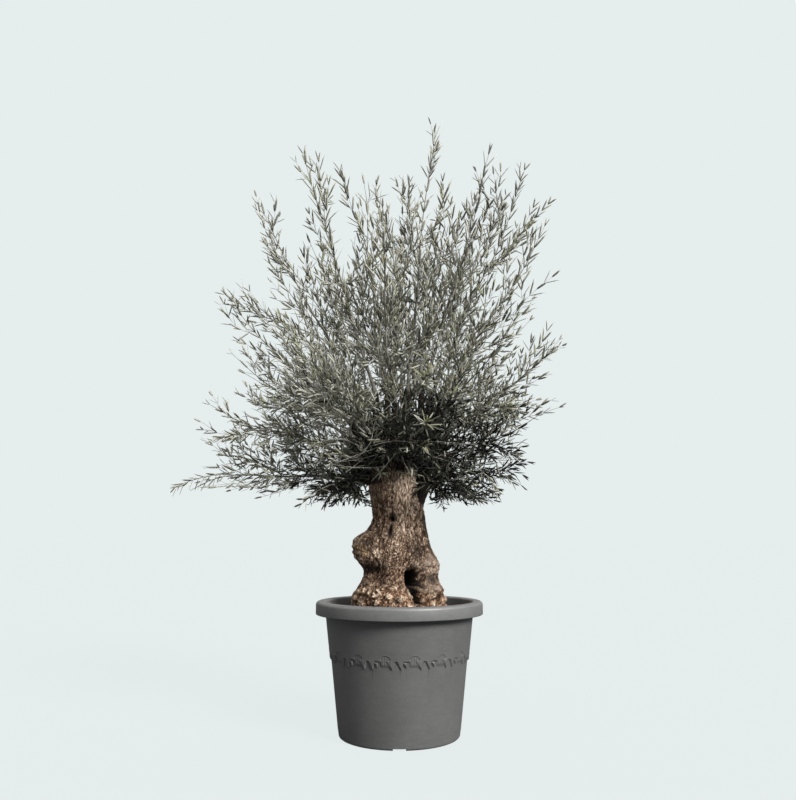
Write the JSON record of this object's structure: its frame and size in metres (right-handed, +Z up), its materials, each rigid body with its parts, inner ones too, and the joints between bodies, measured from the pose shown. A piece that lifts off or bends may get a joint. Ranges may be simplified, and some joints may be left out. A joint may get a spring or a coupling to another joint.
{
  "type": "olive bonsai in a planter",
  "caption": "Olive tree trained as a bonsai: short gnarled trunk, fan of slender boughs and airy narrow-leaved foliage, in a round grey planter with a rim and a garland band.",
  "frame": {"origin": "middle of the planter's flat underside, on the floor", "axes": "+Z up, -Y towards the front with the trunk's hollow, +X to the right seen from the front"},
  "size_m": [1.5304, 1.2252, 2.3722],
  "materials": {
    "planter": "fine matt grain",
    "soil": "loose potting soil",
    "bark": "rough fissured bark",
    "foliage": "silvery grey-green leaves"
  },
  "bodies": {
    "root": {"bough_back_high": "bark", "bough_back_left": "bark", "bough_back_left_skirt": "bark", "bough_back_low": "bark", "bough_back_right": "bark", "bough_back_right_skirt": "bark", "bough_front_high": "bark", "bough_front_left": "bark", "bough_front_left_skirt": "bark", "bough_front_low": "bark", "bough_front_right": "bark", "bough_front_right_skirt": "bark", "bough_left_high": "bark", "bough_left_low": "bark", "bough_left_mid": "bark", "bough_left_skirt": "bark", "bough_left_spire": "bark", "bough_left_upper": "bark", "bough_middle_spire": "bark", "bough_right_high": "bark", "bough_right_low": "bark", "bough_right_mid": "bark", "bough_right_skirt": "bark", "bough_right_spire": "bark", "bough_right_upper": "bark", "bough_top_spire": "bark", "foliage_back_high": "foliage", "foliage_back_left": "foliage", "foliage_back_left_skirt": "foliage", "foliage_back_low": "foliage", "foliage_back_right": "foliage", "foliage_back_right_skirt": "foliage", "foliage_front_high": "foliage", "foliage_front_left": "foliage", "foliage_front_left_skirt": "foliage", "foliage_front_low": "foliage", "foliage_front_right": "foliage", "foliage_front_right_skirt": "foliage", "foliage_left_high": "foliage", "foliage_left_low": "foliage", "foliage_left_mid": "foliage", "foliage_left_skirt": "foliage", "foliage_left_spire": "foliage", "foliage_left_upper": "foliage", "foliage_middle_spire": "foliage", "foliage_right_high": "foliage", "foliage_right_low": "foliage", "foliage_right_mid": "foliage", "foliage_right_skirt": "foliage", "foliage_right_spire": "foliage", "foliage_right_upper": "foliage", "foliage_top_spire": "foliage", "planter": "planter", "soil": "soil", "trunk": "bark"}
  },
  "joints": []
}
